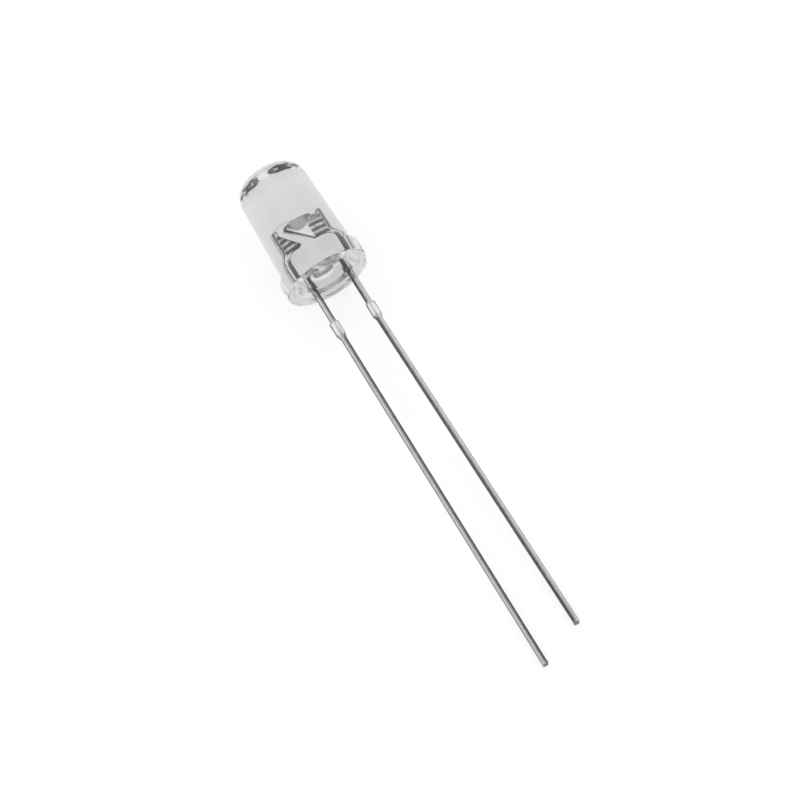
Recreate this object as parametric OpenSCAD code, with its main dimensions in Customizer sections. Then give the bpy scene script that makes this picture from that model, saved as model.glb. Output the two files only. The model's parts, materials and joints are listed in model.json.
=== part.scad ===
// Through-hole lamp: a clear flat-topped epoxy body cast around a stamped two-lead frame.
// Every shape is drawn upright, with +Z from the lead tips to the crown and the origin at the
// centre of the flange's underside. The anode is on +X, the cathode on -X, and +Y is the
// front of the frame. lay_down() then turns the whole lamp to the pose in which it rests:
// on the rim of the flange and on both lead tips, with the crown towards -X.

/* [Clear body] */
// Height of the body, from the flange's underside to the crown
body_height = 8.15; // [7.2:0.05:9]
// Barrel diameter where it leaves the flange
barrel_foot_d = 5.05; // [4.9:0.05:5.3]
// Barrel diameter at the height of the crown, before its edge is rounded
barrel_crown_d = 4.5; // [4.2:0.05:4.9]
// Radius of the crown's rounded edge
crown_round = 0.9; // [0.4:0.05:1.2]
// Flange diameter
flange_d = 5.65; // [5.5:0.05:5.9]
// Flange thickness
flange_h = 1.15; // [1:0.05:1.5]
// Distance from the axis to the flat that marks the cathode side
flat_distance = 2.68; // [2.6:0.01:2.75]
// Rounding of the flange's two rims
rim_round = 0.08; // [0.04:0.01:0.15]
// Fillet between the flange and the barrel
foot_fillet = 0.12; // [0.05:0.01:0.14]
// Height of the resin collar round each lead, under the flange
collar_h = 0.3; // [0.1:0.05:0.4]

/* [Leads] */
// Pitch between the two leads where they leave the body
lead_pitch = 2.54; // [2.5:0.01:2.6]
// Width of a lead across the frame's sheet
lead_w = 0.4; // [0.35:0.01:0.5]
// Thickness of the frame's sheet
sheet_t = 0.4; // [0.35:0.01:0.45]
// Distance of the frame's centre from the body's axis, towards the cathode
frame_offset = 0.075; // [0:0.005:0.1]
// Length of the long lead, the anode, below the flange
anode_length = 29.7; // [20:0.1:32]
// Length of the short lead, the cathode, below the flange
cathode_length = 28.3; // [18:0.1:30]
// How far the anode's tip stands out from a straight lead
anode_splay = 0.075; // [0:0.025:0.4]
// How far the cathode's tip stands out from a straight lead
cathode_splay = 0.375; // [0:0.025:0.8]
// Chamfer on the sheared corners of a tip
tip_chamfer = 0.06; // [0.02:0.01:0.1]

/* [Standoffs] */
// Distance from the flange's underside to the square shoulder of a standoff
standoff_top = 2.87; // [2.2:0.01:3.5]
// Length of a standoff along its lead, before its sloping end
standoff_length = 0.95; // [0.6:0.05:1.4]
// How far a standoff stands out on its lead's outer side
standoff_out = 0.13; // [0.05:0.01:0.2]
// How far a standoff stands out on its lead's inner side
standoff_in = 0.08; // [0.05:0.01:0.2]
// Length of a standoff's sloping end
standoff_slope = 0.3; // [0.1:0.05:0.6]

/* [Frame heads] */
// Height of the cathode head's level underside
anvil_bottom = 2.27; // [2.1:0.01:2.4]
// Height of the raised corner at the back of the cathode's head
ear_top = 4.08; // [3.9:0.01:4.2]
// Height of the anode post
post_top = 4.11; // [4:0.01:4.3]
// Width of the anode post's upright tip
post_w = 0.28; // [0.2:0.01:0.35]
// Radius of the throats where the leads turn into their heads
throat_r = 0.42; // [0.3:0.01:0.45]
// Spacing of the coined grooves across both heads
groove_pitch = 0.4; // [0.35:0.01:0.45]
// Depth of the coined grooves
groove_depth = 0.03; // [0.01:0.005:0.05]

/* [Reflector cup] */
// Height of the cup's rim
cup_top = 4.0; // [3.95:0.01:4.1]
// Outer radius of the cup at its rim
cup_rim_r = 0.59; // [0.56:0.01:0.62]
// Radius of the cup's rounded underside
cup_root_r = 0.37; // [0.34:0.01:0.4]
// Radius of the bowl at the rim
bowl_rim_r = 0.52; // [0.4:0.01:0.54]
// Radius of the bowl's flat floor
bowl_floor_r = 0.24; // [0.22:0.01:0.28]
// Depth of the bowl
bowl_depth = 0.38; // [0.3:0.01:0.4]
// Distance from the lamp's axis to the cup's axis, towards the cathode
cup_offset = 0.11; // [0.08:0.01:0.14]

/* [Chip and bond] */
// Side of the square chip
chip_side = 0.28; // [0.2:0.01:0.3]
// Height of the chip
chip_h = 0.12; // [0.1:0.01:0.18]
// Thickness of the adhesive under the chip
adhesive_h = 0.02; // [0.01:0.005:0.04]
// Diameter of the bond wire
wire_d = 0.03; // [0.025:0.005:0.04]
// Height of the wire's loop above the post
loop_rise = 0.16; // [0.12:0.02:0.5]

/* [Hidden] */
$fn = 96;

// Body profile: taper of the barrel, and the centres of its two arcs
taper = atan((barrel_foot_d - barrel_crown_d) / 2 / (body_height - flange_h));
flange_r = flange_d / 2;
crown_z = body_height - crown_round;
crown_x = barrel_r(crown_z) - crown_round / cos(taper);
fillet_z = flange_h + foot_fillet;
fillet_x = barrel_r(fillet_z) + foot_fillet / cos(taper);

// Resin collar: a hollow curve from the underside down to a ring round the lead's corners
collar_r = 0.8 * lead_w;
collar_hollow_r = 1.06 * collar_h;

// Frame: the straight part of each lead lies between these distances from the frame's centre
shank_in = (lead_pitch - lead_w) / 2;
shank_out = (lead_pitch + lead_w) / 2;
standoff_bottom = standoff_top + standoff_length;
standoff_end = standoff_bottom + standoff_slope;
shank_top = 2.0;
shoulder_z = 2.5;
throat_x = shank_in - throat_r;

// Cathode head: its inner edge leans from the toe to a round lip, and its back corner is an ear
anvil_toe = [0.275, anvil_bottom];
anvil_lip = [-0.48, 3.79];
anvil_lip_r = 0.16;
anvil_run = anvil_toe - anvil_lip;
anvil_turn = atan2(anvil_run[1], anvil_run[0]) - acos(anvil_lip_r / norm(anvil_run));
anvil_back = 1.08;
ear_foot = [0.85, 3.86];
ear_front = 0.93;

// Anode head: an upright post, and a wing that points under the cup
post_outer = 1.21;
post_notch = [post_outer - post_w, 3.68];
wing_tip = [0.45, 2.4];
wing_tip_r = 0.15;
wing_bottom = wing_tip[1] - wing_tip_r;
wing_run = post_notch - wing_tip;
wing_turn = atan2(wing_run[1], wing_run[0]) + acos(wing_tip_r / norm(wing_run));

// Grooves: round-bottomed channels that stop short of the back edges. On the cathode they also
// stop short of the cup.
groove_r = 0.2;
groove_first_z = 2.41;
groove_count = 4;
cathode_grooves = [0.34, 0.98];
anode_grooves = [0.2, 1.12];

// Cup: a round underside, and a cone that touches it and widens to the rim
cup_root_z = cup_top - 0.43;
cup_run = [cup_rim_r, cup_top - cup_root_z];
cup_turn = atan2(cup_run[1], cup_run[0]) - acos(cup_root_r / norm(cup_run));
bowl_floor_z = cup_top - bowl_depth;

// Chip and wire, from the bowl's floor up
adhesive_r = chip_side * 0.6;
chip_z = bowl_floor_z + adhesive_h;
chip_top = chip_z + chip_h;
ball_r = 1.5 * wire_d;
ball_h = wire_d;
foot_h = wire_d / 2;
wire_steps = 14;
wire_sides = 8;
wire_from = [-cup_offset, chip_top + ball_h];
wire_to = [post_outer - post_w / 2 - frame_offset, post_top + foot_h];
loop_top = post_top + foot_h + loop_rise;

// Resting pose: the lamp leans by rest_tilt and rolls by rest_roll, so that the flange's lower
// rim and the lower edge of both tips lie in one plane. The line through the tips crosses the
// body's axis at tip_level below the flange.
tip_step = (anode_length - cathode_length) / (lead_pitch + anode_splay + cathode_splay);
tip_level = anode_length - tip_step * (shank_in + anode_splay - frame_offset);
rest_tilt = atan((flange_r - sheet_t / 2) / tip_level);
rest_roll = asin(tip_step * tan(rest_tilt));
rest_height = (flange_r - rim_round) * cos(rest_tilt) + rim_round * (1 - sin(rest_tilt));
rest_shift = (body_height - anode_length) / 2 * cos(rest_tilt);

// Radius of the barrel at height z
function barrel_r(z) = barrel_foot_d / 2 - (z - flange_h) * tan(taper);

module lay_down() {
    translate([rest_shift, 0, rest_height])
        rotate([0, rest_tilt - 90, 0])
            rotate([0, 0, rest_roll - 90])
                children();
}

// Flat outline in the frame's own plane, given the sheet's thickness along Y
module sheet_part(thickness = sheet_t) {
    rotate([90, 0, 0])
        linear_extrude(thickness, center = true)
            children();
}

// Half section of the body. Each straight run ends where its arc begins.
module body_profile() {
    difference() {
        union() {
            polygon([
                [0, 0],
                [flange_r - rim_round, 0],
                [flange_r, rim_round],
                [flange_r, flange_h - rim_round],
                [flange_r - rim_round, flange_h],
                [fillet_x, flange_h],
                [fillet_x - foot_fillet * cos(taper), fillet_z - foot_fillet * sin(taper)],
                [crown_x + crown_round * cos(taper), crown_z + crown_round * sin(taper)],
                [crown_x, body_height],
                [0, body_height]
            ]);
            translate([flange_r - rim_round, rim_round]) circle(rim_round);
            translate([flange_r - rim_round, flange_h - rim_round]) circle(rim_round);
            translate([crown_x, crown_z]) circle(crown_round);
        }
        translate([fillet_x, fillet_z]) circle(foot_fillet);
    }
}

// Collars of resin round the two leads, under the flange
module collars() {
    for (side = [-1, 1])
        translate([side * lead_pitch / 2 - frame_offset, 0, 0])
            rotate_extrude()
                difference() {
                    translate([0, -collar_h]) square([collar_r + collar_hollow_r, collar_h]);
                    translate([collar_r + collar_hollow_r, -collar_h]) circle(collar_hollow_r);
                }
}

// Points of a lead below its head, down its outer side and up its inner one, drawn on +X.
// Below the standoff it leans out by splay, and its tip has its corners sheared off.
function lead_points(length, splay, head_bottom) = [
    [shank_out, shank_top],
    [shank_out, -standoff_top],
    [shank_out + standoff_out, -standoff_top],
    [shank_out + standoff_out, -standoff_bottom],
    [shank_out, -standoff_end],
    [shank_out + splay, tip_chamfer - length],
    [shank_out + splay - tip_chamfer, -length],
    [shank_in + splay + tip_chamfer, -length],
    [shank_in + splay, tip_chamfer - length],
    [shank_in, -standoff_end],
    [shank_in - standoff_in, -standoff_bottom],
    [shank_in - standoff_in, -standoff_top],
    [shank_in, -standoff_top],
    [shank_in, head_bottom - throat_r],
    [throat_x, head_bottom - throat_r],
    [throat_x, head_bottom]
];

// Cathode, drawn on +X and short of its round lip
module cathode_outline() {
    difference() {
        polygon(concat(lead_points(cathode_length, cathode_splay, anvil_bottom), [
            anvil_toe,
            anvil_lip + anvil_lip_r * [cos(anvil_turn), sin(anvil_turn)],
            anvil_lip + [0, anvil_lip_r],
            ear_foot,
            [ear_front, ear_top],
            [anvil_back, ear_top],
            [anvil_back, shoulder_z]
        ]));
        translate([throat_x, anvil_bottom - throat_r]) circle(throat_r);
    }
}

// Anode, short of the round point of its wing
module anode_outline() {
    difference() {
        polygon(concat(lead_points(anode_length, anode_splay, wing_bottom), [
            [wing_tip[0], wing_bottom],
            wing_tip + wing_tip_r * [cos(wing_turn), sin(wing_turn)],
            post_notch,
            [post_notch[0], post_top],
            [post_outer, post_top],
            [post_outer, shoulder_z]
        ]));
        translate([throat_x, wing_bottom - throat_r]) circle(throat_r);
    }
}

// Channels across the front and back of a head drawn on +X, between two distances from the centre
module grooves(span) {
    groove_y = sheet_t / 2 + groove_r - groove_depth;
    for (face = [-1, 1], i = [0 : groove_count - 1])
        translate([span[0], face * groove_y, groove_first_z + i * groove_pitch])
            rotate([0, 90, 0])
                cylinder(r = groove_r, h = span[1] - span[0]);
}

module cup_outside() {
    translate([-cup_offset, 0, 0])
        rotate_extrude()
            intersection() {
                union() {
                    translate([0, cup_root_z]) circle(cup_root_r);
                    polygon([
                        [0, cup_root_z],
                        [cup_root_r * cos(cup_turn), cup_root_z + cup_root_r * sin(cup_turn)],
                        [cup_rim_r, cup_top],
                        [0, cup_top]
                    ]);
                }
                square([cup_rim_r, cup_top]);
            }
}

module bowl() {
    translate([-cup_offset, 0, bowl_floor_z])
        cylinder(r1 = bowl_floor_r, r2 = bowl_rim_r, h = bowl_depth);
}

module cathode_solid() {
    difference() {
        union() {
            translate([-frame_offset, 0, 0])
                mirror([1, 0, 0])
                    difference() {
                        union() {
                            sheet_part() cathode_outline();
                            sheet_part() translate(anvil_lip) circle(anvil_lip_r);
                        }
                        grooves(cathode_grooves);
                    }
            cup_outside();
        }
        bowl();
    }
}

module anode_solid() {
    translate([-frame_offset, 0, 0])
        difference() {
            union() {
                sheet_part() anode_outline();
                sheet_part() translate(wing_tip) circle(wing_tip_r);
            }
            grooves(anode_grooves);
        }
}

module adhesive_solid() {
    translate([-cup_offset, 0, bowl_floor_z]) cylinder(r = adhesive_r, h = adhesive_h);
}

module chip_solid() {
    translate([-cup_offset, 0, chip_z + chip_h / 2])
        cube([chip_side, chip_side, chip_h], center = true);
}

// Centre line of the bond wire: one cubic curve that leaves the chip and reaches the post upright
function wire_at(t) =
    let (u = 1 - t, rise_from = [wire_from[0], loop_top + loop_rise], rise_to = [wire_to[0], loop_top])
    u * u * u * wire_from + 3 * u * u * t * rise_from + 3 * u * t * t * rise_to + t * t * t * wire_to;

// Direction of the centre line: upright at both ends, the chord between neighbours elsewhere
function wire_direction(i) =
    let (chord = wire_at(min(i + 1, wire_steps) / wire_steps) - wire_at(max(i - 1, 0) / wire_steps))
    i == 0 ? [0, 1] : i == wire_steps ? [0, -1] : chord / norm(chord);

function wire_ring(i) =
    let (c = wire_at(i / wire_steps), d = wire_direction(i))
    [for (k = [0 : wire_sides - 1])
        let (a = 360 * k / wire_sides, n = wire_d / 2 * cos(a))
        [c[0] + n * d[1], wire_d / 2 * sin(a), c[1] - n * d[0]]];

module wire_loop() {
    rings = [for (i = [0 : wire_steps]) each wire_ring(i)];
    last = wire_steps * wire_sides;
    sides = [for (i = [0 : wire_steps - 1], k = [0 : wire_sides - 1])
        let (a = i * wire_sides + k, b = i * wire_sides + (k + 1) % wire_sides)
        [a, b, b + wire_sides, a + wire_sides]];
    ends = [[for (k = [wire_sides - 1 : -1 : 0]) k], [for (k = [0 : wire_sides - 1]) last + k]];
    polyhedron(rings, concat(sides, ends));
}

// Wire with its ball on the chip and its flattened foot on the post
module wire_solid() {
    wire_loop();
    translate([wire_from[0], 0, chip_top]) cylinder(r = ball_r, h = ball_h, $fn = wire_sides);
    translate([wire_to[0], 0, post_top]) cylinder(r = ball_r, h = foot_h, $fn = wire_sides);
}

module clear_body() {
    color([0.86, 0.88, 0.86, 0.35]) lay_down() difference() {
        union() {
            rotate_extrude() body_profile();
            collars();
        }
        translate([-flat_distance - flange_r, 0, flange_h / 2])
            cube([2 * flange_r, 2 * flange_d, 2 * flange_h], center = true);
        cathode_solid();
        anode_solid();
        adhesive_solid();
        chip_solid();
        wire_solid();
    }
}

module cathode_lead() {
    color("silver") lay_down() cathode_solid();
}

module anode_lead() {
    color("silver") lay_down() anode_solid();
}

module die() {
    color("dimgray") lay_down() chip_solid();
}

module die_attach() {
    color("lightgray") lay_down() adhesive_solid();
}

module bond_wire() {
    color("gold") lay_down() wire_solid();
}

clear_body();
cathode_lead();
anode_lead();
die();
die_attach();
bond_wire();
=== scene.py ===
"""Looks of a clear through-hole lamp: its epoxy body, stamped lead frame, chip and bond wire.

Every piece is drawn upright in millimetres, as in the part's source: +Z runs from the lead tips to
the crown, the anode is on +X, the cathode on -X, and +Y is the front of the frame. The origin is the
centre of the flange's underside. add_piece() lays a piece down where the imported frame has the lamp.
"""

import json
import math

import bmesh
import bpy
from mathutils import Matrix, Vector


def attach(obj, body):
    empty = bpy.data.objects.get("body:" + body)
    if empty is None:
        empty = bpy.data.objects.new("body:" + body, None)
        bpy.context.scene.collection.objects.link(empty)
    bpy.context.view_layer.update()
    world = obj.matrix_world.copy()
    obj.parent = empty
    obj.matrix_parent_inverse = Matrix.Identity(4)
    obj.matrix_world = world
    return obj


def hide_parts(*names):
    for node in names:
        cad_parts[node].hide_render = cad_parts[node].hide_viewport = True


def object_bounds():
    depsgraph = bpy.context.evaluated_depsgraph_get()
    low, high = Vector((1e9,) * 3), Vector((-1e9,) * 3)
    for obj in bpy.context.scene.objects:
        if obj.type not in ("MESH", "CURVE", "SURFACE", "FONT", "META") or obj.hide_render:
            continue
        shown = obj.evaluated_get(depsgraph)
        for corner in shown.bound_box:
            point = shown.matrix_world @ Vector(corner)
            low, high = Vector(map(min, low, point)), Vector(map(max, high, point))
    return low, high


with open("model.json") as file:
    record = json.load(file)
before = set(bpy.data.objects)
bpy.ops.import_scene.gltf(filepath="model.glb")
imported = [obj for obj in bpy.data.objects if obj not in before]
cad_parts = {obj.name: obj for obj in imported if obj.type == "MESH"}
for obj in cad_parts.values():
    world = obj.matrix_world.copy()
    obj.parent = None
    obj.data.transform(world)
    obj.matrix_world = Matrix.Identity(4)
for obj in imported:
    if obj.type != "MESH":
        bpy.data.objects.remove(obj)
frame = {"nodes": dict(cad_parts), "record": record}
cad_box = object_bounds()

MM = 0.001

# Body
BARREL_FOOT_R = 2.525
BARREL_CROWN_R = 2.25
EASE_START_Z = 6.5
EASE_END_Z = 7.25
EASE_INSET = 0.038
FLANGE_H = 1.15
RIM_ROUND = 0.08
FOOT_FILLET = 0.12
BODY_SEGMENTS = 256
UNDERSIDE_RINGS = (0, 0.3, 0.6, 0.9)
CROWN_RINGS = (0.97, 0.6, 0.3, 0)

# Collar of resin round each lead, under the flange
COLLAR_H = 0.3
COLLAR_R = 0.32
COLLAR_HOLLOW_R = 0.318

# Leads. The frame's centre stands off the body's axis, towards the cathode.
FRAME_X = -0.075
LEAD_PITCH = 2.54
LEAD_W = 0.4
SHEET_T = 0.4
ANODE_SPLAY = 0.075
TIP_CHAMFER = 0.06
TIP_RUN = 0.3
STANDOFF_TOP = -2.87
STANDOFF_LENGTH = 0.95
STANDOFF_OUT = 0.13
STANDOFF_IN = 0.08
STANDOFF_SLOPE = 0.3

# Rounding of the sheet's rims: the stamped sheet is rounder on the leads' inner sides
OUTER_RIM = 0.08
INNER_RIM = 0.19
STANDOFF_RIM = 0.1
TIP_RIM = 0.04
HEAD_RIM = 0.08
LIP_RIM = 0.13
ROUND_STEPS = 6

# Frame heads
ANVIL_TOE = (0.275, 2.27)
ANVIL_LIP = (-0.48, 3.79)
ANVIL_LIP_R = 0.16
ANVIL_BACK = 1.08
EAR_FOOT = (0.85, 3.86)
EAR_FRONT = 0.93
EAR_TOP = 4.08
SHANK_TOP = 2.0
SHOULDER_Z = 2.5
THROAT_R = 0.42
POST_TOP = 4.11
POST_OUTER = 1.21
POST_W = 0.28
POST_NOTCH_Z = 3.68
WING_TIP = (0.45, 2.4)
WING_TIP_R = 0.15
GROOVE_R = 0.2
GROOVE_DEPTH = 0.03
GROOVE_FIRST_Z = 2.41
GROOVE_PITCH = 0.4
GROOVE_COUNT = 4
CATHODE_GROOVES = (0.34, 0.98)
ANODE_GROOVES = (0.2, 1.12)

# Reflector cup
CUP_X = -0.11
CUP_TOP = 4.0
CUP_RIM_R = 0.59
CUP_ROOT_R = 0.37
CUP_ROOT_Z = CUP_TOP - 0.43
CUP_EDGE = 0.012
BOWL_RIM_R = 0.52
BOWL_FLOOR_R = 0.24
BOWL_DEPTH = 0.38
BOWL_FLOOR_Z = CUP_TOP - BOWL_DEPTH
CUP_CONE_SLOPE = math.tan(math.radians(23.0))
CUP_SEGMENTS = 96

# Chip and wire
CHIP_SIDE = 0.28
CHIP_H = 0.12
CHIP_BEVEL = 0.008
ADHESIVE_H = 0.02
ADHESIVE_R = CHIP_SIDE * 0.6
WIRE_R = 0.015
BALL_R = 3 * WIRE_R
LOOP_RISE = 0.16

# How much painted shade darkens the plating, from 0 to 1, and how dark the cut ends are. A pair
# says where it starts and where it is full: across a shank in millimetres from its middle, or by how
# squarely a surface faces the front or the back.
CUT_END_WEAR = 0.85
# Painted shade on the cup's rim, and the share of the rims' painted shade kept on the sheared sides
CUP_RIM_SHADE = 0.7
SIDE_SHADE_KEPT = 0.35
SHANK_IN_RESIN = (0.08, -0.15)
SHANK_OUTSIDE = (0.12, -0.1)
HEAD_RIM_FACING = (0.85, 0.6)
SHANK_RIM_FACING = (0.97, 0.75)
SIDE_FACING = (0.1, 0.5)

# Heights between which the resin turns from satin to polished, and from polished to the crown
UNDERSIDE_SATIN = (0.0, 0.04)
CROWN_SATIN = (7.2, 7.6)

# View of the photographed lamp: how far its lead end leans to the camera, how far the frame is
# turned about its own axis, and where the axis points in the picture
LEAN = math.radians(23.1)
ROLL = math.radians(8.1)
AXIS_TURN = math.radians(58.0)
LENS = 450.0
SENSOR = 36.0
VIEW_WIDTH = 49.78
FLANGE_RIGHT = -4.455
FLANGE_UP = 7.598

# Level of the surroundings as rough surfaces see them, and as metal and glass see them, and the
# flags that stand in them: azimuth, half width, bottom and top in degrees, and colour
SURROUNDINGS = (0.75, 0.75, 0.75)
SEEN_SURROUNDINGS = (0.95, 0.95, 0.95)
FLAGS = (
    (180.0, 60.0, 0.0, 55.0, (0.64, 0.64, 0.63)),
    (0.0, 42.0, 32.0, 44.0, (0.35, 0.35, 0.37)),
    (330.0, 20.0, -12.0, 42.0, (0.055, 0.06, 0.085)),
    (30.0, 20.0, -12.0, 42.0, (0.06, 0.065, 0.085)),
)
FLAG_SOFTNESS = 6.0

# The floor's own glow and its colour, as metal and glass see it and as the camera sees it
FLOOR_IN_GLOSS = (0.52, 0.45)
FLOOR_IN_VIEW = (0.72, 0.42)
FLOOR_REACH = 40


# ---------------------------------------------------------------- placing

def lamp_pose():
    """Matrix from the upright lamp, in metres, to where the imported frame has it."""
    seat = next(m for m in frame["record"]["mounts"] if m["name"] == "seat")
    to_crown = -Vector(seat["axis"])
    chip_faces = frame["nodes"]["die"].data.polygons
    to_anode = min((face.normal.copy() for face in chip_faces), key=lambda way: way.y)
    to_front = to_crown.cross(to_anode)
    turn = Matrix((to_anode, to_front, to_crown)).transposed().to_4x4()
    return Matrix.Translation(seat["pos_m"]) @ turn


def upright_box(node):
    """Lowest and highest corner of a CAD node in the upright lamp's own axes, in millimetres."""
    to_lamp = LAMP.inverted()
    points = [to_lamp @ vertex.co / MM for vertex in frame["nodes"][node].data.vertices]
    return [Vector(pick(p[i] for p in points) for i in range(3)) for pick in (min, max)]


LAMP = lamp_pose()
BODY_LOW, BODY_HIGH = upright_box("clear_body")
BODY_HEIGHT = BODY_HIGH.z
FLANGE_R = BODY_HIGH.x
FLAT_X = BODY_LOW.x
ANODE_TIP = upright_box("anode_lead")[0].z
CATHODE_LOW = upright_box("cathode_lead")[0]
CATHODE_TIP = CATHODE_LOW.z
SHANK_IN = (LEAD_PITCH - LEAD_W) / 2
SHANK_OUT = (LEAD_PITCH + LEAD_W) / 2
CATHODE_SPLAY = FRAME_X - CATHODE_LOW.x - SHANK_OUT


def add_piece(name, bm, material, node, sharp=35.0):
    """Makes a piece from a bmesh in upright millimetres. It rides on the body and stands for node."""
    mesh = bpy.data.meshes.new(name)
    bmesh.ops.recalc_face_normals(bm, faces=bm.faces)
    bm.to_mesh(mesh)
    bm.free()
    mesh.transform(LAMP @ Matrix.Scale(MM, 4))
    mesh.polygons.foreach_set("use_smooth", [True] * len(mesh.polygons))
    mesh.set_sharp_from_angle(angle=math.radians(sharp))
    mesh.materials.append(material)
    piece = bpy.data.objects.new(name, mesh)
    bpy.context.scene.collection.objects.link(piece)
    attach(piece, "root")
    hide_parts(node)
    return piece


# ---------------------------------------------------------------- shapes

def arc(centre, radius, start, end, steps):
    """Points along an arc between two angles in degrees, both ends included."""
    angles = [math.radians(start + (end - start) * i / steps) for i in range(steps + 1)]
    return [
        Vector((centre[0] + radius * math.cos(a), centre[1] + radius * math.sin(a))) for a in angles
    ]


def lathe(profile, segments, centre_x=0.0):
    """Closed bmesh turned about the Z axis from (radius, height) points that begin and end on it."""
    bm = bmesh.new()
    rings = []
    for radius, height in profile:
        if radius < 1e-9:
            rings.append([bm.verts.new((centre_x, 0, height))] * segments)
            continue
        turns = [2 * math.pi * k / segments for k in range(segments)]
        rings.append([
            bm.verts.new((centre_x + radius * math.cos(a), radius * math.sin(a), height)) for a in turns
        ])
    for low, high in zip(rings, rings[1:]):
        for k in range(segments):
            corners = (low[k], low[k - 1], high[k - 1], high[k])
            bm.faces.new(dict.fromkeys(corners))
    return bm


def tangent_turn(centre, radius, point, side):
    """Angle in degrees, at a circle's centre, where a line from point touches it on that side."""
    run = Vector(point) - Vector(centre)
    return math.degrees(math.atan2(run.y, run.x) + side * math.acos(radius / run.length))


def rimmed(points, rounding):
    """Outline points (x, z, rounding of the sheet's rim) that share one rounding."""
    return [(x, z, rounding) for x, z in points]


def inset(outline, share):
    """Points of a counter-clockwise outline, each moved inwards by a share of its rounding."""
    points = [Vector(p[:2]) for p in outline]
    moved = []
    for i, here in enumerate(points):
        way_in = (here - points[i - 1]).normalized()
        way_out = (points[(i + 1) % len(points)] - here).normalized()
        normal_in = Vector((-way_in.y, way_in.x))
        normal_out = Vector((-way_out.y, way_out.x))
        mitre = (normal_in + normal_out) / (1 + normal_in.dot(normal_out))
        moved.append(here + mitre * outline[i][2] * share)
    return moved


def rounded_plate(outline):
    """Closed sheet in the frame's plane with this counter-clockwise outline and its rims rounded."""
    bm = bmesh.new()
    half = SHEET_T / 2
    angles = [math.pi / 2 * i / ROUND_STEPS for i in range(ROUND_STEPS + 1)]
    sections = [(1 - math.sin(a), -1, 1 - math.cos(a)) for a in angles]
    sections += [(1 - math.sin(a), 1, 1 - math.cos(a)) for a in reversed(angles)]
    rings = []
    for inward, side, drop in sections:
        rings.append([
            bm.verts.new((spot.x, side * (half - rounding * drop), spot.y))
            for spot, (_, _, rounding) in zip(inset(outline, inward), outline)
        ])
    for low, high in zip(rings, rings[1:]):
        for k in range(len(outline)):
            bm.faces.new((low[k], low[k - 1], high[k - 1], high[k]))
    bm.faces.new(rings[0])
    bm.faces.new(reversed(rings[-1]))
    bmesh.ops.recalc_face_normals(bm, faces=bm.faces)
    return bm


def scratch_object(bm):
    """Short-lived object that holds a bmesh for a modifier to work on."""
    mesh = bpy.data.meshes.new("scratch")
    bmesh.ops.recalc_face_normals(bm, faces=bm.faces)
    bm.to_mesh(mesh)
    bm.free()
    made = bpy.data.objects.new("scratch", mesh)
    bpy.context.scene.collection.objects.link(made)
    return made


def combine(base, operation, *tools):
    """Joins closed bmeshes to base, or cuts them from it, one after the other."""
    for tool in tools:
        target = scratch_object(base)
        cutter = scratch_object(tool)
        modifier = target.modifiers.new("combine", "BOOLEAN")
        modifier.operation = operation
        modifier.solver = "EXACT"
        modifier.object = cutter
        depsgraph = bpy.context.evaluated_depsgraph_get()
        base = bmesh.new()
        base.from_object(target, depsgraph)
        for used in (target, cutter):
            mesh = used.data
            bpy.data.objects.remove(used)
            bpy.data.meshes.remove(mesh)
    return base


# ---------------------------------------------------------------- body

def body_profile():
    """Half section of the body above its underside, from the flange's lower rim to the axis.

    The barrel's straight taper eases into the crown's round edge, without a line between them.
    """
    slope = (BARREL_FOOT_R - BARREL_CROWN_R) / (BODY_HEIGHT - FLANGE_H)
    lean = math.degrees(math.atan(slope))
    ease_height = EASE_END_Z - EASE_START_Z

    def barrel_r(z):
        """Radius of the barrel at a height."""
        eased = max(0.0, (z - EASE_START_Z) / ease_height)
        return BARREL_FOOT_R - (z - FLANGE_H) * slope - EASE_INSET * eased * eased

    fillet_z = FLANGE_H + FOOT_FILLET
    fillet_x = barrel_r(fillet_z) + FOOT_FILLET / math.cos(math.radians(lean))
    rim_x = FLANGE_R - RIM_ROUND
    crown_lean = math.atan(slope + 2 * EASE_INSET / ease_height)
    crown_r = (BODY_HEIGHT - EASE_END_Z) / (1 - math.sin(crown_lean))
    crown = (barrel_r(EASE_END_Z) - crown_r * math.cos(crown_lean), BODY_HEIGHT - crown_r)
    profile = arc((rim_x, RIM_ROUND), RIM_ROUND, -90, 0, 6)
    profile += arc((rim_x, FLANGE_H - RIM_ROUND), RIM_ROUND, 0, 90, 6)
    profile += arc((fillet_x, fillet_z), FOOT_FILLET, 270, 180 + lean, 8)
    heights = [EASE_START_Z + ease_height * i / 12 for i in range(12)]
    profile += [Vector((barrel_r(z), z)) for z in heights]
    profile += arc(crown, crown_r, math.degrees(crown_lean), 90, 44)
    profile += [Vector((crown[0] * share, BODY_HEIGHT)) for share in CROWN_RINGS]
    return profile


def collar(lead_x):
    """Skirt of resin round a lead: a hollow curve from the underside down to a ring round the lead."""
    centre = (COLLAR_R + COLLAR_HOLLOW_R, -COLLAR_H)
    meeting = 180 - math.degrees(math.asin(COLLAR_H / COLLAR_HOLLOW_R))
    profile = [(0, -COLLAR_H)]
    profile += arc(centre, COLLAR_HOLLOW_R, 180, meeting, 14)
    profile += [(profile[-1].x, 0.1), (0, 0.1)]
    return lathe(profile, 96, lead_x)


def body_shape():
    """Body turned about its axis, cut flat on the cathode's side, with a collar round each lead."""
    floor = [Vector(((FLANGE_R - RIM_ROUND) * share, 0)) for share in UNDERSIDE_RINGS]
    bm = lathe(floor + body_profile(), BODY_SEGMENTS)
    everything = bm.verts[:] + bm.edges[:] + bm.faces[:]
    cut = bmesh.ops.bisect_plane(
        bm, geom=everything, plane_co=(FLAT_X, 0, 0), plane_no=(-1, 0, 0), clear_outer=True)
    flat_edges = [part for part in cut["geom_cut"] if isinstance(part, bmesh.types.BMEdge)]
    bmesh.ops.contextual_create(bm, geom=flat_edges)
    return combine(bm, "UNION", *[collar(FRAME_X + side * LEAD_PITCH / 2) for side in (-1, 1)])


# ---------------------------------------------------------------- lead frame

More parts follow.
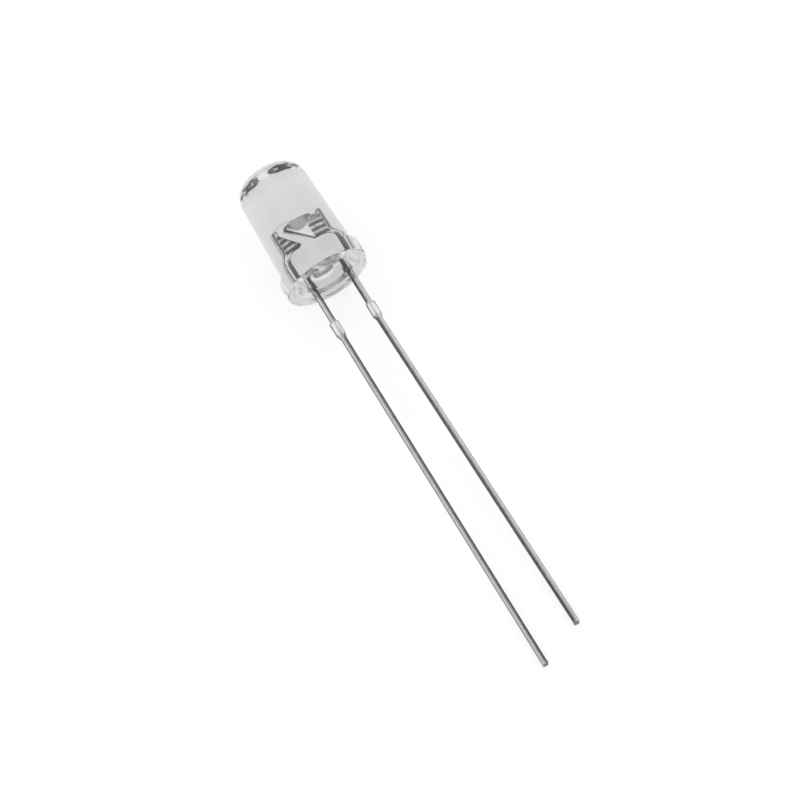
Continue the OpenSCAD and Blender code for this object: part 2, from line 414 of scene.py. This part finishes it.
def lead_outline(tip_z, splay, head_bottom):
    """Outline of a lead below its head, down its outer side and up to its throat, drawn on +X."""
    standoff_bottom = STANDOFF_TOP - STANDOFF_LENGTH
    standoff_end = standoff_bottom - STANDOFF_SLOPE
    outline = [
        (SHANK_OUT, SHANK_TOP, OUTER_RIM),
        (SHANK_OUT, STANDOFF_TOP + 0.2, OUTER_RIM),
        (SHANK_OUT, STANDOFF_TOP, STANDOFF_RIM),
        (SHANK_OUT + STANDOFF_OUT, STANDOFF_TOP, STANDOFF_RIM),
        (SHANK_OUT + STANDOFF_OUT, standoff_bottom, STANDOFF_RIM),
        (SHANK_OUT, standoff_end, OUTER_RIM),
        (SHANK_OUT + splay, tip_z + TIP_RUN, OUTER_RIM),
        (SHANK_OUT + splay, tip_z + TIP_CHAMFER, TIP_RIM),
        (SHANK_OUT + splay - TIP_CHAMFER, tip_z, TIP_RIM),
        (SHANK_IN + splay + TIP_CHAMFER, tip_z, TIP_RIM),
        (SHANK_IN + splay, tip_z + TIP_CHAMFER, TIP_RIM),
        (SHANK_IN + splay, tip_z + TIP_RUN, INNER_RIM),
        (SHANK_IN, standoff_end, INNER_RIM),
        (SHANK_IN - STANDOFF_IN, standoff_bottom, STANDOFF_RIM),
        (SHANK_IN - STANDOFF_IN, STANDOFF_TOP, STANDOFF_RIM),
        (SHANK_IN, STANDOFF_TOP, STANDOFF_RIM),
        (SHANK_IN, STANDOFF_TOP + 0.2, INNER_RIM),
    ]
    throat = (SHANK_IN - THROAT_R, head_bottom - THROAT_R)
    return outline + rimmed(arc(throat, THROAT_R, 0, 90, 16), HEAD_RIM)


def cathode_outline():
    """Lead and head of the cathode, drawn on +X. A round lip ends the head's leaning inner edge."""
    turn = tangent_turn(ANVIL_LIP, ANVIL_LIP_R, ANVIL_TOE, -1)
    outline = lead_outline(CATHODE_TIP, CATHODE_SPLAY, ANVIL_TOE[1])
    outline += rimmed([ANVIL_TOE], HEAD_RIM)
    outline += rimmed(arc(ANVIL_LIP, ANVIL_LIP_R, turn, 90 - 360, 20), LIP_RIM)
    outline += rimmed([
        EAR_FOOT,
        (EAR_FRONT, EAR_TOP),
        (ANVIL_BACK, EAR_TOP),
        (ANVIL_BACK, SHOULDER_Z),
    ], HEAD_RIM)
    return outline


def anode_outline():
    """Lead and head of the anode, drawn on +X. Its wing has a round point."""
    notch = (POST_OUTER - POST_W, POST_NOTCH_Z)
    turn = tangent_turn(WING_TIP, WING_TIP_R, notch, 1)
    outline = lead_outline(ANODE_TIP, ANODE_SPLAY, WING_TIP[1] - WING_TIP_R)
    outline += rimmed(arc(WING_TIP, WING_TIP_R, 270, turn, 12), HEAD_RIM)
    outline += rimmed([
        notch,
        (POST_OUTER - POST_W, POST_TOP),
        (POST_OUTER, POST_TOP),
        (POST_OUTER, SHOULDER_Z),
    ], HEAD_RIM)
    return outline


def placed(outline, side):
    """Outline moved to its side of the frame, counter-clockwise."""
    moved = [(FRAME_X + side * x, z, rounding) for x, z, rounding in outline]
    return moved[::-1] if side > 0 else moved


def groove_cutters(span, side):
    """Round-bottomed channels across the front and the back of the head on that side."""
    middle = FRAME_X + side * (span[0] + span[1]) / 2
    stand_off = SHEET_T / 2 + GROOVE_R - GROOVE_DEPTH
    lie_across = Matrix.Rotation(math.pi / 2, 4, "Y")
    for face in (-1, 1):
        for i in range(GROOVE_COUNT):
            centre = (middle, face * stand_off, GROOVE_FIRST_Z + i * GROOVE_PITCH)
            bm = bmesh.new()
            bmesh.ops.create_cone(
                bm, cap_ends=True, segments=96, radius1=GROOVE_R, radius2=GROOVE_R,
                depth=span[1] - span[0], matrix=Matrix.Translation(centre) @ lie_across)
            yield bm


def cup_shape():
    """Cup with a round underside, and a cone that touches it and widens to the rim.

    A ring just below the rim keeps the rim's painted shade off the cone.
    """
    turn = tangent_turn((0, CUP_ROOT_Z), CUP_ROOT_R, (CUP_RIM_R, CUP_TOP), -1)
    profile = arc((0, CUP_ROOT_Z), CUP_ROOT_R, -90, turn, 16)
    profile[0].x = 0
    below_rim = Vector((CUP_RIM_R, CUP_TOP)).lerp(profile[-1], 0.12)
    profile += [
        below_rim,
        (CUP_RIM_R, CUP_TOP - CUP_EDGE),
        (CUP_RIM_R - CUP_EDGE, CUP_TOP),
        (0, CUP_TOP),
    ]
    return lathe(profile, CUP_SEGMENTS, CUP_X)


def bowl_shape():
    """Space inside the cup, open at the top."""
    above = CUP_TOP + 0.1
    return lathe([
        (0, BOWL_FLOOR_Z),
        (BOWL_FLOOR_R, BOWL_FLOOR_Z),
        (BOWL_RIM_R - CUP_EDGE, CUP_TOP - CUP_EDGE),
        (BOWL_RIM_R, CUP_TOP),
        (BOWL_RIM_R, above),
        (0, above),
    ], CUP_SEGMENTS, CUP_X)


def fade(value, zero_at, one_at):
    """Smooth rise from 0 to 1 as value goes from zero_at to one_at."""
    share = min(1.0, max(0.0, (value - zero_at) / (one_at - zero_at)))
    return share * share * (3 - 2 * share)


def in_cup(point):
    """Whether a point of the cathode belongs to the cup and not to the sheet."""
    margin = 0.01
    narrowing = (CUP_TOP - point.z) * CUP_CONE_SLOPE
    from_axis = Vector((point.x - CUP_X, point.y)).length
    return point.z > CUP_ROOT_Z - CUP_ROOT_R and from_axis < CUP_RIM_R + margin - narrowing


def inner_shade(point):
    """Painted shade at a point of a shank, for lying towards the other lead. The standoffs get none."""
    margin = 0.05
    pad_bottom = STANDOFF_TOP - STANDOFF_LENGTH
    on_standoff = pad_bottom - margin < point.z < STANDOFF_TOP + margin
    if on_standoff or point.z > SHANK_TOP:
        return 0
    bend = pad_bottom - STANDOFF_SLOPE
    splay, tip = (ANODE_SPLAY, ANODE_TIP) if point.x > FRAME_X else (CATHODE_SPLAY, CATHODE_TIP)
    spread = splay * min(1.0, max(0.0, (bend - point.z) / (bend - tip - TIP_RUN)))
    outwards = abs(point.x - FRAME_X) - LEAD_PITCH / 2 - spread
    zero_at, one_at = SHANK_IN_RESIN if point.z > STANDOFF_TOP else SHANK_OUTSIDE
    return fade(outwards, zero_at, one_at)


def head_shade(point, way):
    """Painted shade at a point of a head: down in the grooves, and along the sheet's rounded rims.

    The sheared sides get no painted shade. On the edges that face down, neither does the front rim.
    """
    facing = abs(way.y)
    depth = SHEET_T / 2 - abs(point.y)
    if facing > 0.7 and 0 < depth < GROOVE_DEPTH * 1.1:
        return fade(depth, 0, GROOVE_DEPTH * 0.15)
    if way.z < -0.2 and point.y > 0:
        return 0
    return fade(facing, *HEAD_RIM_FACING) * fade(facing, *SIDE_FACING)


def shank_shade_and_wear(point, way):
    """How dark a point of a shank is: painted shade along its rims and towards the other lead, and its
    dark cut end.
    """
    if point.z < CATHODE_TIP + TIP_CHAMFER and way.z < -0.5:
        return CUT_END_WEAR
    facing = abs(way.y)
    side = SIDE_SHADE_KEPT + (1 - SIDE_SHADE_KEPT) * fade(facing, *SIDE_FACING)
    return max(fade(facing, *SHANK_RIM_FACING), inner_shade(point)) * side


def mark_shade_wear_and_matt(bm):
    """Marks the plating's painted shade and its dark cut ends, and where it is matt, as it is on the
    cup.
    """
    head_start = ANVIL_TOE[1] + 0.03
    rim_inner_r = BOWL_RIM_R - 0.005
    rim_low_z = CUP_TOP - 0.02
    shade_and_wear = bm.verts.layers.float.new("shade_and_wear")
    matt = bm.faces.layers.float.new("matt")
    bm.normal_update()
    for vertex in bm.verts:
        place, way = vertex.co, vertex.normal
        if in_cup(place):
            from_axis = Vector((place.x - CUP_X, place.y)).length
            on_rim = from_axis > rim_inner_r and place.z > rim_low_z
            # The cup's rim gets painted shade
            vertex[shade_and_wear] = CUP_RIM_SHADE if on_rim else 0
        elif place.z > head_start:
            vertex[shade_and_wear] = head_shade(place, way)
        else:
            vertex[shade_and_wear] = shank_shade_and_wear(place, way)
    for face in bm.faces:
        face[matt] = all(in_cup(vertex.co) for vertex in face.verts)
    return bm


def cathode_shape():
    """Cathode's sheet with its grooves and its reflector cup."""
    plate = rounded_plate(placed(cathode_outline(), -1))
    plate = combine(plate, "DIFFERENCE", *groove_cutters(CATHODE_GROOVES, -1))
    return mark_shade_wear_and_matt(combine(combine(plate, "UNION", cup_shape()), "DIFFERENCE", bowl_shape()))


def anode_shape():
    """Anode's sheet with the grooves of its wing."""
    plate = rounded_plate(placed(anode_outline(), 1))
    return mark_shade_wear_and_matt(combine(plate, "DIFFERENCE", *groove_cutters(ANODE_GROOVES, 1)))


# ---------------------------------------------------------------- chip and wire

def chip_shape():
    """Square chip with fine bevelled edges."""
    centre = Matrix.Translation((CUP_X, 0, BOWL_FLOOR_Z + ADHESIVE_H + CHIP_H / 2))
    bm = bmesh.new()
    bmesh.ops.create_cube(bm, size=1, matrix=centre @ Matrix.Diagonal((CHIP_SIDE, CHIP_SIDE, CHIP_H, 1)))
    bmesh.ops.bevel(bm, geom=bm.edges[:], offset=CHIP_BEVEL, segments=2, affect="EDGES", profile=0.5)
    return bm


def adhesive_shape():
    """Thin round pool of adhesive between the cup's floor and the chip."""
    profile = [(0, BOWL_FLOOR_Z), (ADHESIVE_R, BOWL_FLOOR_Z)]
    profile += arc((ADHESIVE_R - ADHESIVE_H, BOWL_FLOOR_Z), ADHESIVE_H, 30, 90, 4)
    profile.append((0, BOWL_FLOOR_Z + ADHESIVE_H))
    return lathe(profile, 48, CUP_X)


def wire_shape():
    """One cubic curve from the ball on the chip to the foot on the post, swept round."""
    start = Vector((CUP_X, 0, BOWL_FLOOR_Z + ADHESIVE_H + CHIP_H + 2 * WIRE_R))
    end = Vector((FRAME_X + POST_OUTER - POST_W / 2, 0, POST_TOP + WIRE_R))
    peak = end.z + LOOP_RISE
    rise = Vector((start.x, 0, peak + LOOP_RISE))
    fall = Vector((end.x, 0, peak))
    aside = Vector((0, 1, 0))
    steps, sides = 48, 12
    bm = bmesh.new()
    rings = []
    for i in range(steps + 1):
        t = i / steps
        u = 1 - t
        centre = u ** 3 * start + 3 * u * u * t * rise + 3 * u * t * t * fall + t ** 3 * end
        along = (u * u * (rise - start) + 2 * u * t * (fall - rise) + t * t * (end - fall)).normalized()
        across = Vector((along.z, 0, -along.x))
        turns = [2 * math.pi * k / sides for k in range(sides)]
        rings.append([
            bm.verts.new(centre + WIRE_R * (across * math.cos(a) + aside * math.sin(a))) for a in turns
        ])
    for low, high in zip(rings, rings[1:]):
        for k in range(sides):
            bm.faces.new((low[k], low[k - 1], high[k - 1], high[k]))
    bm.faces.new(rings[0])
    bm.faces.new(rings[-1])
    chip_top = start.z - 2 * WIRE_R
    ball = lathe([
        (0, chip_top),
        (BALL_R * 0.85, chip_top),
        (BALL_R, chip_top + WIRE_R * 0.7),
        (BALL_R * 0.85, chip_top + WIRE_R * 1.5),
        (WIRE_R, start.z),
        (0, start.z),
    ], 24, start.x)
    foot = lathe([
        (0, POST_TOP),
        (BALL_R * 0.9, POST_TOP),
        (BALL_R, POST_TOP + WIRE_R * 0.4),
        (BALL_R * 0.6, POST_TOP + WIRE_R),
        (0, end.z + WIRE_R * 0.2),
    ], 24, end.x)
    return combine(combine(bm, "UNION", ball), "UNION", foot)


# ---------------------------------------------------------------- materials

def new_material(name):
    """Material with its Principled shader, and the nodes and links to build on."""
    material = bpy.data.materials.new(name)
    material.use_nodes = True
    nodes = material.node_tree.nodes
    return material, nodes, material.node_tree.links, nodes["Principled BSDF"]


def upright(nodes, links, stretch):
    """Coordinates in the upright lamp, counted in steps of stretch millimetres on each axis."""
    place = nodes.new("ShaderNodeTexCoord")
    mapping = nodes.new("ShaderNodeMapping")
    mapping.vector_type = "TEXTURE"
    mapping.inputs["Location"].default_value = LAMP.translation
    mapping.inputs["Rotation"].default_value = LAMP.to_euler()
    mapping.inputs["Scale"].default_value = [MM * length for length in stretch]
    links.new(place.outputs["Object"], mapping.inputs["Vector"])
    return mapping.outputs["Vector"]


def noise(nodes, links, stretch, detail=3.0, roughness=0.5):
    """Noise whose cells are stretch millimetres long on each axis of the upright lamp."""
    texture = nodes.new("ShaderNodeTexNoise")
    texture.inputs["Scale"].default_value = 1.0
    texture.inputs["Detail"].default_value = detail
    texture.inputs["Roughness"].default_value = roughness
    links.new(upright(nodes, links, stretch), texture.inputs["Vector"])
    return texture.outputs["Fac"]


def height(nodes, links, low, high):
    """Rises from 0 to 1 between two heights of the upright lamp."""
    axes = nodes.new("ShaderNodeSeparateXYZ")
    rise = nodes.new("ShaderNodeMapRange")
    rise.inputs["From Min"].default_value = low
    rise.inputs["From Max"].default_value = high
    links.new(upright(nodes, links, (1, 1, 1)), axes.inputs["Vector"])
    links.new(axes.outputs["Z"], rise.inputs["Value"])
    return rise.outputs["Result"]


def blend(nodes, links, share, low, high):
    """Mixes two colours: all low where share is 0, all high where it is 1."""
    mix = nodes.new("ShaderNodeMix")
    mix.data_type = "RGBA"
    links.new(share, mix.inputs["Factor"])
    links.new(low, mix.inputs["A"])
    links.new(high, mix.inputs["B"])
    return mix.outputs["Result"]


def ramp(nodes, links, source, *stops):
    """Colours or greys at given levels of source."""
    node = nodes.new("ShaderNodeValToRGB")
    elements = node.color_ramp.elements
    while len(elements) < len(stops):
        elements.new(0.5)
    for element, (level, colour) in zip(elements, stops):
        element.position = level
        element.color = (*colour, 1) if isinstance(colour, tuple) else (colour, colour, colour, 1)
    links.new(source, node.inputs["Fac"])
    return node.outputs["Color"]


def edge(nodes, links, value, zero_at, one_at):
    """Smooth rise from 0 to 1 as value goes from zero_at to one_at."""
    rise = nodes.new("ShaderNodeMapRange")
    rise.interpolation_type = "SMOOTHSTEP"
    rise.inputs["From Min"].default_value = zero_at
    rise.inputs["From Max"].default_value = one_at
    links.new(value, rise.inputs["Value"])
    return rise.outputs["Result"]


def switch(nodes, links, share, off, on):
    """Mixes two shaders: all off where share is 0, all on where it is 1."""
    mix = nodes.new("ShaderNodeMixShader")
    links.new(share, mix.inputs["Fac"])
    links.new(off, mix.inputs[1])
    links.new(on, mix.inputs[2])
    return mix.outputs[0]


def math_node(nodes, links, operation, first, second):
    """Result of an operation on two values."""
    node = nodes.new("ShaderNodeMath")
    node.operation = operation
    links.new(first, node.inputs[0])
    links.new(second, node.inputs[1])
    return node.outputs[0]


def bump(nodes, links, relief, distance, shader):
    """Raises the shader's surface by distance millimetres where relief is 1."""
    node = nodes.new("ShaderNodeBump")
    node.inputs["Distance"].default_value = distance * MM
    links.new(relief, node.inputs["Height"])
    links.new(node.outputs["Normal"], shader.inputs["Normal"])


def painted(nodes, name):
    """Value left on the lead frame's mesh under this name: its painted shade and dark cut ends, or where
    it is matt.
    """
    node = nodes.new("ShaderNodeAttribute")
    node.attribute_name = name
    return node.outputs["Fac"]


def epoxy():
    """Clear resin, polished where the mould shaped it and satin on the open face underneath."""
    material, nodes, links, shader = new_material("clear_epoxy")
    shader.inputs["Base Color"].default_value = (0.86, 0.862, 0.856, 1)
    shader.inputs["Transmission Weight"].default_value = 1.0
    shader.inputs["IOR"].default_value = 1.54
    haze = noise(nodes, links, (0.5, 0.5, 0.9), 4.0)
    polished = ramp(nodes, links, haze, (0.35, 0.0), (0.75, 0.02))
    satin = ramp(nodes, links, haze, (0.35, 0.07), (0.75, 0.14))
    crown = ramp(nodes, links, haze, (0.35, 0.05), (0.75, 0.08))
    above = blend(nodes, links, height(nodes, links, *CROWN_SATIN), polished, crown)
    roughness = blend(nodes, links, height(nodes, links, *UNDERSIDE_SATIN), satin, above)
    links.new(roughness, shader.inputs["Roughness"])
    return material


def plated_steel():
    """Sheet with silver plating on the heads, and tin below the body, with rolling marks all over.

    The plating carries painted shade along its rims, in the grooves, towards the other lead, on the
    cup's rim, on the shanks in the resin and on the coined faces, and a painted highlight on the
    standoffs. Its cut ends are dark, and the cup is matt.
    """
    material, nodes, links, shader = new_material("plated_steel")
    rolled = noise(nodes, links, (0.04, 0.04, 1.2), 4.0, 0.6)
    stain = noise(nodes, links, (0.12, 0.12, 0.3), 5.0, 0.65)
    silver = ramp(nodes, links, stain, (0.3, (0.84, 0.83, 0.82)), (0.6, (0.92, 0.915, 0.905)))
    tin = ramp(nodes, links, stain, (0.3, (0.56, 0.55, 0.56)), (0.6, (0.72, 0.705, 0.715)))
    # Colour of the painted shade, and of the dark cut ends
    dark = ramp(nodes, links, stain, (0.3, (0.06, 0.057, 0.054)), (0.65, (0.17, 0.16, 0.155)))
    # Painted highlight: the standoffs are brighter than the tin around them
    pad_with_highlight = ramp(nodes, links, stain, (0.3, (0.76, 0.75, 0.77)), (0.6, (0.9, 0.89, 0.91)))
    pad_bottom = STANDOFF_TOP - STANDOFF_LENGTH
    under_top = height(nodes, links, STANDOFF_TOP, STANDOFF_TOP - 0.1)
    over_bottom = height(nodes, links, pad_bottom - 0.1, pad_bottom + 0.1)
    on_pad = math_node(nodes, links, "MULTIPLY", under_top, over_bottom)
    tin = blend(nodes, links, on_pad, tin, pad_with_highlight)
    plating = blend(nodes, links, height(nodes, links, -0.1, 0.1), tin, silver)
    # Painted shade on the inner part of the shanks, in the resin and just below the flange
    plating = blend(nodes, links, shaded_shank(nodes, links), plating, dark)
    matt = painted(nodes, "matt")
    cup = ramp(nodes, links, stain, (0.3, (0.80, 0.79, 0.76)), (0.6, (0.92, 0.91, 0.88)))
    plating = blend(nodes, links, matt, plating, cup)
    links.new(ramp(nodes, links, matt, (0.0, 1.0), (1.0, 0.25)), shader.inputs["Metallic"])
    # Painted shade on the grooved, coined faces of the heads
    coined_shade = ramp(nodes, links, stain, (0.3, 0.65), (0.65, 0.25))
    coined = math_node(nodes, links, "MULTIPLY", coined_face(nodes, links), coined_shade)
    # Painted shade along the rims, in the grooves, towards the other lead, on the cup's rim and on the
    # coined faces, with the dark cut ends
    shade_and_wear_level = math_node(nodes, links, "MAXIMUM", painted(nodes, "shade_and_wear"), coined)
    links.new(blend(nodes, links, shade_and_wear_level, plating, dark), shader.inputs["Base Color"])
    smooth = ramp(nodes, links, rolled, (0.3, 0.1), (0.7, 0.18))
    rough = ramp(nodes, links, stain, (0.3, 0.5), (0.7, 0.65))
    links.new(blend(nodes, links, matt, smooth, rough), shader.inputs["Roughness"])
    bump(nodes, links, rolled, 0.0006, shader)
    return material


def frame_place(nodes, links):
    """Distance from the frame's middle and height in the upright lamp, in millimetres."""
    axes = nodes.new("ShaderNodeSeparateXYZ")
    links.new(upright(nodes, links, (1, 1, 1)), axes.inputs["Vector"])
    aside = nodes.new("ShaderNodeMath")
    aside.operation = "ADD"
    aside.inputs[1].default_value = -FRAME_X
    links.new(axes.outputs["X"], aside.inputs[0])
    out = nodes.new("ShaderNodeMath")
    out.operation = "ABSOLUTE"
    links.new(aside.outputs[0], out.inputs[0])
    return out.outputs[0], axes.outputs["Z"]


def coined_face(nodes, links):
    """1 on the grooved part of the heads, 0 elsewhere: where the heads get painted shade."""
    out, up = frame_place(nodes, links)
    beside = edge(nodes, links, out, CATHODE_GROOVES[0] - 0.1, CATHODE_GROOVES[0] + 0.1)
    above = edge(nodes, links, up, GROOVE_FIRST_Z - 0.3, GROOVE_FIRST_Z)
    return math_node(nodes, links, "MULTIPLY", beside, above)


def shaded_shank(nodes, links):
    """1 on the inner part of each lead between the flange's underside and the head, 0 elsewhere: where
    the shanks get painted shade.
    """
    out, up = frame_place(nodes, links)
    inner = edge(nodes, links, out, SHANK_OUT - 0.1, SHANK_OUT - 0.2)
    above = edge(nodes, links, up, -0.7, -0.3)
    below = edge(nodes, links, up, 2.2, 1.7)
    between = math_node(nodes, links, "MULTIPLY", above, below)
    return math_node(nodes, links, "MULTIPLY", inner, between)


def semiconductor():
    """Dark, faintly mottled crystal."""
    material, nodes, links, shader = new_material("semiconductor")
    mottle = noise(nodes, links, (0.06, 0.06, 0.06), 3.0)
    colour = ramp(nodes, links, mottle, (0.35, (0.16, 0.14, 0.17)), (0.65, (0.24, 0.21, 0.26)))
    links.new(colour, shader.inputs["Base Color"])
    links.new(ramp(nodes, links, mottle, (0.3, 0.12), (0.7, 0.2)), shader.inputs["Roughness"])
    return material


def silver_adhesive():
    """Dull adhesive full of silver flakes."""
    material, nodes, links, shader = new_material("silver_adhesive")
    flakes = noise(nodes, links, (0.015, 0.015, 0.015), 3.0)
    shader.inputs["Metallic"].default_value = 0.6
    colour = ramp(nodes, links, flakes, (0.35, (0.5, 0.49, 0.47)), (0.65, (0.78, 0.77, 0.74)))
    links.new(colour, shader.inputs["Base Color"])
    links.new(ramp(nodes, links, flakes, (0.3, 0.45), (0.7, 0.65)), shader.inputs["Roughness"])
    bump(nodes, links, flakes, 0.004, shader)
    return material


def gold():
    """Drawn gold wire."""
    material, nodes, links, shader = new_material("gold")
    shader.inputs["Metallic"].default_value = 1.0
    drawn = noise(nodes, links, (0.01, 0.01, 0.2), 2.0)
    colour = ramp(nodes, links, drawn, (0.3, (0.72, 0.58, 0.36)), (0.7, (0.80, 0.66, 0.44)))
    links.new(colour, shader.inputs["Base Color"])
    links.new(ramp(nodes, links, drawn, (0.3, 0.16), (0.7, 0.28)), shader.inputs["Roughness"])
    return material


# ---------------------------------------------------------------- studio

def gloss_or_glass(nodes, links, rays):
    """1 for a ray that metal or glass sends out."""
    return math_node(
        nodes, links, "MAXIMUM", rays.outputs["Is Glossy Ray"], rays.outputs["Is Transmission Ray"])


def pale(nodes, links, glow_level, soft_level):
    """Floor that glows a little, so that its shadows are only as deep as soft_level."""
    glow = nodes.new("ShaderNodeEmission")
    glow.inputs["Strength"].default_value = glow_level
    soft = nodes.new("ShaderNodeBsdfDiffuse")
    soft.inputs["Color"].default_value = (soft_level, soft_level, soft_level, 1)
    both = nodes.new("ShaderNodeAddShader")
    links.new(glow.outputs[0], both.inputs[0])
    links.new(soft.outputs[0], both.inputs[1])
    return both.outputs[0]


def add_floor():
    """Pale floor with a faint shadow for the camera, and a deeper one for metal and glass."""
    material, nodes, links, shader = new_material("floor")
    shader.inputs["Base Color"].default_value = (0.8, 0.8, 0.8, 1)
    shader.inputs["Roughness"].default_value = 0.9
    shader.inputs["Specular IOR Level"].default_value = 0.0
    rays = nodes.new("ShaderNodeLightPath")
    in_gloss = pale(nodes, links, *FLOOR_IN_GLOSS)
    in_view = pale(nodes, links, *FLOOR_IN_VIEW)
    surface = switch(nodes, links, gloss_or_glass(nodes, links, rays), shader.outputs[0], in_gloss)
    surface = switch(nodes, links, rays.outputs["Is Camera Ray"], surface, in_view)
    links.new(surface, nodes["Material Output"].inputs["Surface"])
    low, high = cad_box
    centre = (low + high) / 2
    reach = (high - low).length * FLOOR_REACH
    mesh = bpy.data.meshes.new("floor")
    corners = [
        (centre.x + i * reach, centre.y + j * reach, low.z)
        for i, j in ((-1, -1), (1, -1), (1, 1), (-1, 1))
    ]
    mesh.from_pydata(corners, [], [(0, 1, 2, 3)])
    mesh.materials.append(material)
    floor = bpy.data.objects.new("floor", mesh)
    bpy.context.scene.collection.objects.link(floor)


def sine(degrees):
    """Sine of an angle in degrees."""
    return math.sin(math.radians(degrees))


def cosine(degrees):
    """Cosine of an angle in degrees."""
    return math.cos(math.radians(degrees))


def strip(nodes, links, way, azimuth, half_width, bottom, top):
    """1 in a strip of the surroundings between two elevations, 0 outside it."""
    soft = FLAG_SOFTNESS / 2
    level_way = nodes.new("ShaderNodeVectorMath")
    level_way.operation = "MULTIPLY"
    level_way.inputs[1].default_value = (1, 1, 0)
    links.new(way, level_way.inputs[0])
    heading = nodes.new("ShaderNodeVectorMath")
    heading.operation = "NORMALIZE"
    links.new(level_way.outputs["Vector"], heading.inputs[0])
    facing = nodes.new("ShaderNodeVectorMath")
    facing.operation = "DOT_PRODUCT"
    facing.inputs[1].default_value = (cosine(azimuth), sine(azimuth), 0)
    links.new(heading.outputs["Vector"], facing.inputs[0])
    axes = nodes.new("ShaderNodeSeparateXYZ")
    links.new(way, axes.inputs["Vector"])
    middle = cosine(max(0.0, half_width - soft))
    across = edge(nodes, links, facing.outputs["Value"], cosine(half_width + soft), middle)
    below = edge(nodes, links, axes.outputs["Z"], sine(top + soft), sine(top - soft))
    above = edge(nodes, links, axes.outputs["Z"], sine(bottom - soft), sine(bottom + soft))
    between = math_node(nodes, links, "MULTIPLY", below, above)
    return math_node(nodes, links, "MULTIPLY", across, between)


def background(nodes, colour):
    """Surroundings of one colour."""
    node = nodes.new("ShaderNodeBackground")
    node.inputs["Color"].default_value = (*colour, 1)
    return node.outputs[0]


def add_world():
    """Even surroundings, white to the camera. Metal and glass see flags that draw their edges."""
    world = bpy.data.worlds.new("studio")
    bpy.context.scene.world = world
    world.use_nodes = True
    nodes, links = world.node_tree.nodes, world.node_tree.links
    nodes.remove(nodes["Background"])
    place = nodes.new("ShaderNodeTexCoord")
    seen = background(nodes, SEEN_SURROUNDINGS)
    for azimuth, half_width, bottom, top, colour in FLAGS:
        mask = strip(nodes, links, place.outputs["Generated"], azimuth, half_width, bottom, top)
        seen = switch(nodes, links, mask, seen, background(nodes, colour))
    rays = nodes.new("ShaderNodeLightPath")
    plain = background(nodes, SURROUNDINGS)
    white = background(nodes, (1, 1, 1))
    surface = switch(nodes, links, gloss_or_glass(nodes, links, rays), plain, seen)
    surface = switch(nodes, links, rays.outputs["Is Camera Ray"], surface, white)
    links.new(surface, nodes["World Output"].inputs["Surface"])


def add_camera():
    """Camera of the photograph: a long lens above the lamp, towards its leads."""
    anode, front, crown = (LAMP.col[i].to_3d() for i in range(3))
    side_on = front * math.cos(ROLL) + anode * math.sin(ROLL)
    back = side_on * math.cos(LEAN) - crown * math.sin(LEAN)
    along = (crown - back * crown.dot(back)).normalized()
    across = along.cross(back)
    right = across * math.sin(AXIS_TURN) - along * math.cos(AXIS_TURN)
    up = along * math.sin(AXIS_TURN) + across * math.cos(AXIS_TURN)
    data = bpy.data.cameras.new("camera")
    data.lens = LENS
    data.sensor_width = SENSOR
    distance = VIEW_WIDTH * MM * LENS / SENSOR
    data.clip_start, data.clip_end = distance * 0.1, distance * 10
    camera = bpy.data.objects.new("camera", data)
    bpy.context.scene.collection.objects.link(camera)
    target = LAMP.translation - (right * FLANGE_RIGHT + up * FLANGE_UP) * MM
    turn = Matrix((right, up, back)).transposed().to_4x4()
    camera.matrix_world = Matrix.Translation(target + back * distance) @ turn
    bpy.context.scene.camera = camera


# ---------------------------------------------------------------- the lamp in its studio

steel = plated_steel()
add_piece("clear_body_shell", body_shape(), epoxy(), "clear_body")
add_piece("cathode_frame", cathode_shape(), steel, "cathode_lead")
add_piece("anode_frame", anode_shape(), steel, "anode_lead")
add_piece("chip", chip_shape(), semiconductor(), "die")
add_piece("chip_adhesive", adhesive_shape(), silver_adhesive(), "die_attach")
add_piece("wire", wire_shape(), gold(), "bond_wire")

add_floor()
add_world()
add_camera()

bpy.context.scene.view_settings.view_transform = "Standard"
# Light is reflected inside the resin again and again, and each reflection counts as a glossy bounce
bpy.context.scene.cycles.max_bounces = 32
bpy.context.scene.cycles.glossy_bounces = 32
bpy.context.scene.cycles.transmission_bounces = 16
